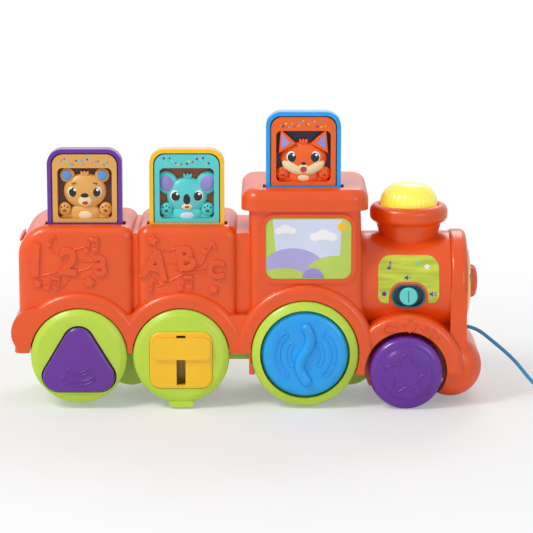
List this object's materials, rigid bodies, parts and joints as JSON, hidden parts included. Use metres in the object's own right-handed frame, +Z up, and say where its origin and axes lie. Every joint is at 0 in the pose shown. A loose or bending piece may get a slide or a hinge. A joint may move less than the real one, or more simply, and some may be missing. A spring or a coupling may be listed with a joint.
{
  "type": "pull-along pop-up animal toy train",
  "caption": "Toy train pulled by a cord, with spring-up animal windows opened by a push, a slide and a twist control, a light-up funnel and a sound panel.",
  "frame": {"origin": "on the floor, under the middle of the train without its cord", "axes": "+X towards the face at the front, +Z up, the side with the controls faces -Y"},
  "size_m": [0.4665, 0.116, 0.2372],
  "materials": {
    "orange_body": "semi gloss moulded",
    "lime": "semi gloss moulded",
    "purple": "semi gloss moulded",
    "blue": "semi gloss moulded",
    "yellow": "semi gloss moulded",
    "turquoise": "semi gloss moulded",
    "teal": "matt moulded",
    "label": "printed film",
    "picture": "printed film",
    "tan": "fine matt moulded",
    "koala": "fine matt moulded",
    "fox": "fine matt moulded",
    "dome": "translucent yellow",
    "steel": "drawn",
    "spring_steel": "drawn",
    "board": "lacquered",
    "black": "matt",
    "cord": "braided",
    "cell": "sleeved"
  },
  "bodies": {
    "train": {"near_shell": "orange_body", "far_shell": "orange_body", "window_panel": "picture", "cab_roof": "orange_body", "face_ring": "orange_body", "face_plate": "yellow", "nose": "orange_body", "front_bumper": "orange_body", "funnel": "orange_body", "dome_spring": "spring_steel", "lamp": "dome", "rear_disc": "lime", "middle_disc": "lime", "far_middle_disc": "lime", "large_disc": "lime", "far_rear_disc": "lime", "far_large_disc": "lime", "triangle_spring": "spring_steel", "slider_plate": "yellow", "bear_spring": "spring_steel", "koala_spring": "spring_steel", "fox_spring": "spring_steel", "popup_rails": "black", "chassis": "lime", "battery_door": "lime", "battery_cells": "cell", "battery_contacts": "steel", "axle_bushes": "black", "roller_pins": "steel", "switch_well": "teal", "volume_switch": "black", "sound_panel": "label", "circuit_board": "board", "speaker": "black", "pull_cord": "cord", "pull_cord_coil": "cord", "pull_cord_knot": "cord", "cord_eyelet": "orange_body"},
    "bear_popup": {"bear_frame": "purple", "bear_panel": "tan", "bear_figure": "tan"},
    "koala_popup": {"koala_frame": "yellow", "koala_panel": "koala", "koala_figure": "koala"},
    "fox_popup": {"fox_frame": "blue", "fox_panel": "fox", "fox_figure": "fox"},
    "triangle_press": {"triangle_button": "purple", "triangle_latch": "black"},
    "slider": {"slider_bar": "yellow", "slider_latch": "black"},
    "knob": {"twist_knob": "blue"},
    "front_wheels": {"near_front_wheel": "purple", "far_front_wheel": "purple", "front_axle": "steel"},
    "near_roller_body": {"near_roller": "black"},
    "far_roller_body": {"far_roller": "black"},
    "volume_slider": {"volume_knob": "turquoise"},
    "dome": {"light_dome": "dome"}
  },
  "joints": [
    {"name": "bear_lift", "type": "slide", "parent": "train", "child": "bear_popup", "axis": [0, 0, 1], "range_m": [-0.058, 0], "stiffness_N_per_m": 40, "springref_m": 0.03, "deforming": ["bear_spring"]},
    {"name": "koala_lift", "type": "slide", "parent": "train", "child": "koala_popup", "axis": [0, 0, 1], "range_m": [-0.058, 0], "stiffness_N_per_m": 40, "springref_m": 0.03, "deforming": ["koala_spring"]},
    {"name": "fox_lift", "type": "slide", "parent": "train", "child": "fox_popup", "axis": [0, 0, 1], "range_m": [-0.058, 0], "stiffness_N_per_m": 40, "springref_m": 0.03, "deforming": ["fox_spring"]},
    {"name": "triangle_push", "type": "slide", "parent": "train", "child": "triangle_press", "axis": [0, 1, 0], "range_m": [0, 0.004], "stiffness_N_per_m": 300, "springref_m": -0.002},
    {"name": "slider_down", "type": "slide", "parent": "train", "child": "slider", "axis": [0, 0, 1], "range_m": [-0.02, 0], "stiffness_N_per_m": 20, "springref_m": 0.01},
    {"name": "knob_twist", "type": "hinge", "parent": "train", "child": "knob", "pos_m": [0.0457, -0.05, 0.045], "axis": [0, 1, 0], "range_deg": [-60, 60], "stiffness_Nm_per_rad": 0.05},
    {"name": "front_wheel_roll", "type": "hinge", "parent": "train", "child": "front_wheels", "pos_m": [0.1264, 0, 0.0295], "axis": [0, 1, 0], "continuous": true},
    {"name": "near_roller_roll", "type": "hinge", "parent": "train", "child": "near_roller_body", "pos_m": [-0.053, -0.0436, 0.009], "axis": [0, 1, 0], "continuous": true},
    {"name": "far_roller_roll", "type": "hinge", "parent": "train", "child": "far_roller_body", "pos_m": [-0.053, 0.0436, 0.009], "axis": [0, 1, 0], "continuous": true},
    {"name": "volume_slide", "type": "slide", "parent": "train", "child": "volume_slider", "axis": [1, 0, 0], "range_m": [-0.0045, 0.0045]},
    {"name": "dome_press", "type": "slide", "parent": "train", "child": "dome", "axis": [0, 0, 1], "range_m": [-0.0025, 0], "stiffness_N_per_m": 200, "springref_m": 0.003, "deforming": ["dome_spring"]}
  ]
}
